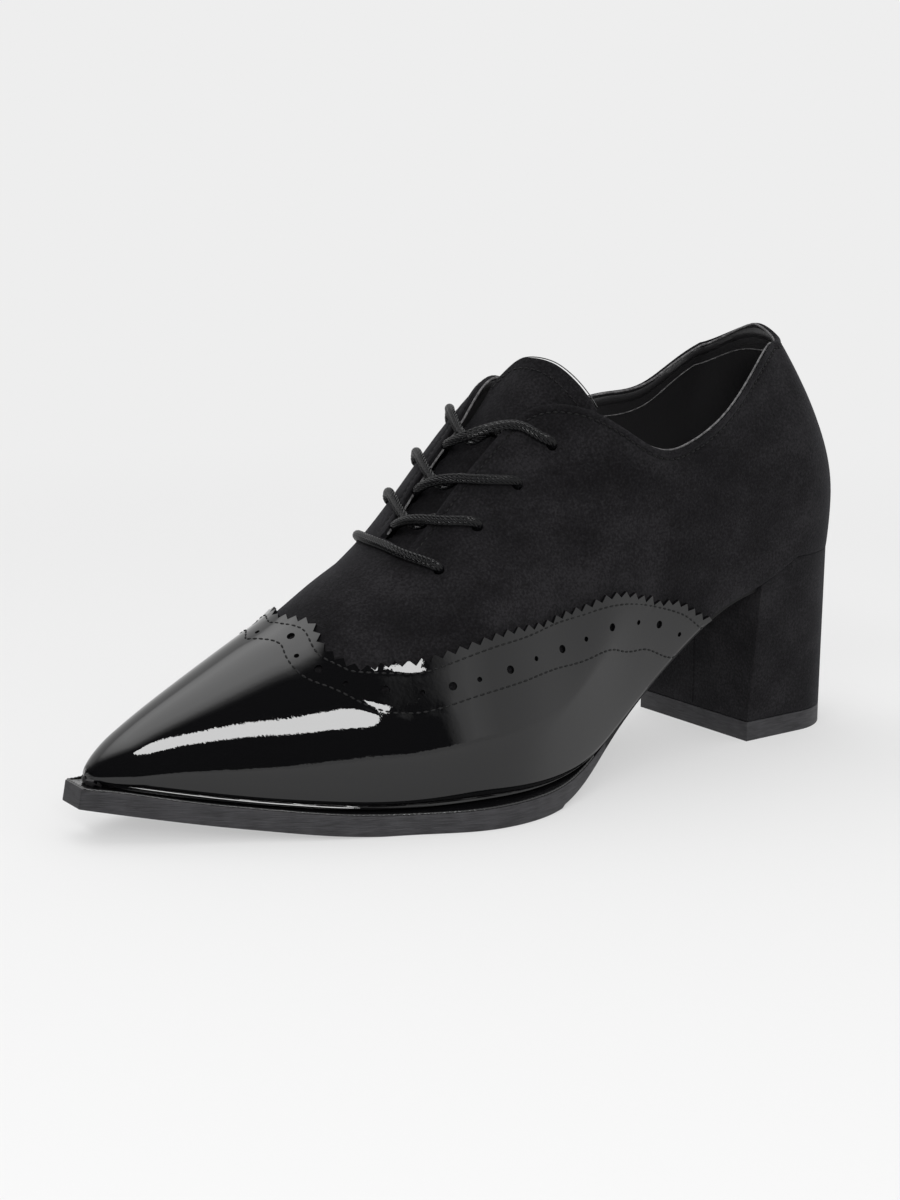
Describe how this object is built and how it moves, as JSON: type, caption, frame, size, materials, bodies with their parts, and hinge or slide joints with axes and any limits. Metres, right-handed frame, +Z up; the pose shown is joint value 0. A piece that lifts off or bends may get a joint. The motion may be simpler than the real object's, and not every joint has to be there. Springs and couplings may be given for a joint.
{
  "type": "oxford shoe",
  "caption": "Left pointed-toe lace-up oxford with a suede upper, a patent wing cap, a flat ledge sole and a covered block heel; worn on the foot.",
  "frame": {"origin": "middle of the footprint, on the floor", "axes": "+X towards the toe, +Y to the shoe's outer side, +Z up"},
  "size_m": [0.2625, 0.0865, 0.1292],
  "materials": {
    "suede": "black suede with a short nap",
    "patent": "black patent leather, high gloss",
    "lining": "smooth black lining",
    "sole_rubber": "matte dark grey, finely brushed edge",
    "lace": "waxed round braid"
  },
  "bodies": {
    "root": {"upper": "suede", "wing_cap": "patent", "tongue": "suede", "insole": "lining", "outsole": "sole_rubber", "heel_block": "suede", "top_lift": "sole_rubber", "lace_cross_1": "lace", "lace_cross_2": "lace", "lace_cross_3": "lace", "lace_bar": "lace"}
  },
  "joints": []
}
